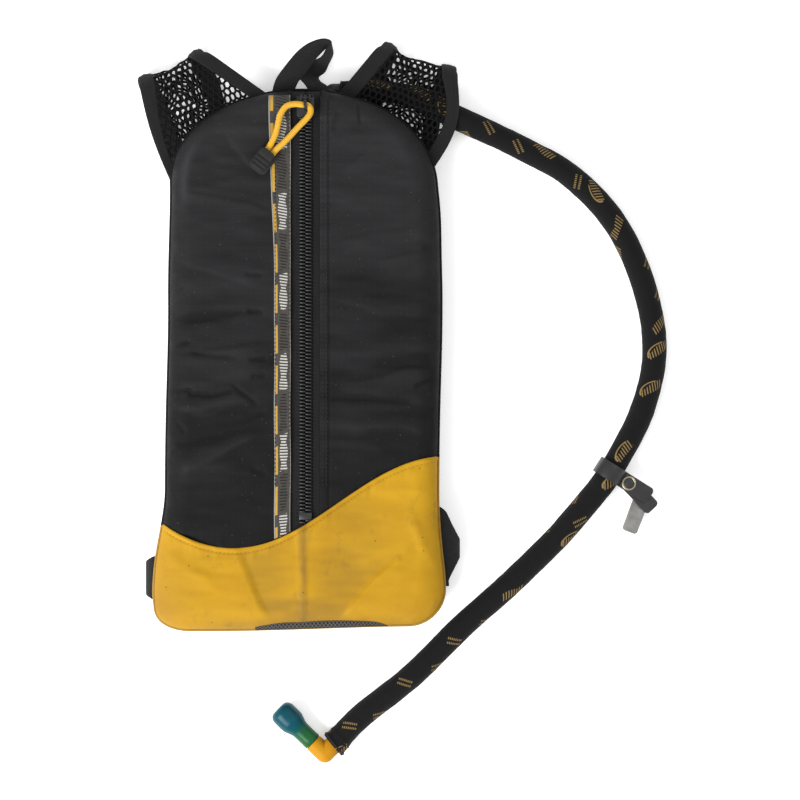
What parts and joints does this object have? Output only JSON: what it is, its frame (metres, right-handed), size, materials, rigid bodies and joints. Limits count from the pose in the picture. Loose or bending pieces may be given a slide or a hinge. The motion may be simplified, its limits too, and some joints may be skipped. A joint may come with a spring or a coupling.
{
  "type": "hydration pack",
  "caption": "Slim insulated hydration pack with a water bladder inside, a front zip, mesh shoulder straps, a sleeved drink hose with an elbow bite valve, and a hose clip.",
  "frame": {"origin": "middle of the back pad, on the face that rests on the floor", "axes": "+Z out of the front of the pack, +Y towards the grab handle, +X to the right seen from the front"},
  "size_m": [0.4153, 0.5648, 0.0498],
  "materials": {
    "black_ripstop": "matt ripstop",
    "yellow_ripstop": "matt nylon",
    "black_fabric": "matt woven",
    "pad_mesh": "air mesh",
    "foam": "closed cell foam",
    "woven_trim": "woven tape",
    "zip_fabric": "twill tape",
    "zip_nylon": "satin",
    "dark_metal": "satin dark",
    "pull_yellow": "woven cord",
    "black_rubber": "moulded",
    "black_webbing": "woven webbing",
    "strap_mesh": "open mesh",
    "binding": "woven tape",
    "black_plastic": "satin",
    "bladder_film": "clear film",
    "blue_plastic": "gloss",
    "gasket": "soft",
    "clear_tube": "clear",
    "sleeve_fabric": "printed stretch fabric",
    "yellow_plastic": "gloss",
    "teal_silicone": "translucent silicone",
    "black_vinyl": "smooth",
    "snap_metal": "bright",
    "clip_steel": "satin"
  },
  "bodies": {
    "pack": {"front_panel_left": "black_ripstop", "front_panel_right": "black_ripstop", "lower_panel": "yellow_ripstop", "back_panel": "black_fabric", "back_pad": "pad_mesh", "front_foam": "foam", "back_foam": "foam", "drain_mesh": "pad_mesh", "trim_tape": "woven_trim", "zip_tape_left": "zip_fabric", "zip_tape_right": "zip_fabric", "zip_coil_left": "zip_nylon", "zip_coil_right": "zip_nylon", "zip_bottom_stop": "dark_metal", "shoulder_mesh_left": "strap_mesh", "shoulder_mesh_right": "strap_mesh", "strap_binding_in_left": "binding", "strap_binding_out_left": "binding", "strap_binding_in_right": "binding", "strap_binding_out_right": "binding", "strap_loop_left": "black_webbing", "strap_loop_right": "black_webbing", "ladder_lock_left": "black_plastic", "ladder_lock_right": "black_plastic", "lower_web_left": "black_webbing", "lower_web_right": "black_webbing", "web_tab_left": "black_webbing", "web_tab_right": "black_webbing", "bladder_back": "bladder_film", "bladder_weld_left": "bladder_film", "bladder_weld_right": "bladder_film", "bladder_weld_top": "bladder_film", "bladder_weld_base": "bladder_film", "bladder_front": "bladder_film", "fill_port": "blue_plastic", "outlet_port": "blue_plastic", "feed_tube": "clear_tube", "tube_exit": "black_plastic", "drink_tube": "clear_tube", "drink_sleeve": "sleeve_fabric"},
    "slider": {"zip_slider": "dark_metal"},
    "tab": {"pull_tab": "dark_metal"},
    "loop": {"pull_cord": "pull_yellow", "pull_grip": "black_rubber"},
    "handle": {"grab_handle": "black_webbing"},
    "cap": {"fill_cap": "blue_plastic", "cap_gasket": "gasket"},
    "elbow": {"bite_elbow": "yellow_plastic"},
    "valve": {"bite_valve": "teal_silicone"},
    "hose_clip": {"clip_strap": "black_vinyl", "snap_stud": "black_vinyl", "snap_ring": "snap_metal", "clip_rivet": "clip_steel"},
    "clip": {"clip_plate": "clip_steel", "clip_pin": "clip_steel", "clip_spring": "clip_steel"},
    "jaw": {"clip_jaw": "clip_steel"}
  },
  "joints": [
    {"name": "zip_slide", "type": "slide", "parent": "pack", "child": "slider", "axis": [0, -1, 0], "range_m": [0, 0.304]},
    {"name": "tab_flip", "type": "hinge", "parent": "slider", "child": "tab", "pos_m": [0.003, 0.203, 0.0436], "axis": [-1, 0, 0], "range_deg": [0, 90]},
    {"name": "loop_swing", "type": "hinge", "parent": "tab", "child": "loop", "pos_m": [0.003, 0.1974, 0.0453], "axis": [-1, 0, 0], "range_deg": [0, 80]},
    {"name": "handle_swing", "type": "hinge", "parent": "pack", "child": "handle", "pos_m": [0, 0.2102, 0.0232], "axis": [1, 0, 0], "range_deg": [0, 55]},
    {"name": "cap_turn", "type": "hinge", "parent": "pack", "child": "cap", "pos_m": [0.003, 0.105, 0.03], "axis": [0, 0, 1], "range_deg": [0, 180]},
    {"name": "elbow_swivel", "type": "hinge", "parent": "pack", "child": "elbow", "pos_m": [0.027, -0.298, 0.0109], "axis": [-0.6947, -0.7193, 0], "continuous": true},
    {"name": "valve_twist", "type": "hinge", "parent": "elbow", "child": "valve", "pos_m": [0.01762, -0.30771, 0.0109], "axis": [-0.7193, 0.6947, 0], "continuous": true},
    {"name": "clip_slide", "type": "slide", "parent": "pack", "child": "hose_clip", "axis": [-0.5329, -0.8462, 0], "range_m": [-0.006, 0.006]},
    {"name": "clip_swivel", "type": "hinge", "parent": "hose_clip", "child": "clip", "pos_m": [0.26569, -0.10739, 0.0089], "axis": [0, 0, 1], "range_deg": [-40, 40]},
    {"name": "jaw_open", "type": "hinge", "parent": "clip", "child": "jaw", "pos_m": [0.26153, -0.11864, 0.0054], "axis": [0.9379, -0.3469, 0], "range_deg": [0, 15], "stiffness_Nm_per_rad": 0.05, "springref_deg": -5.73}
  ]
}
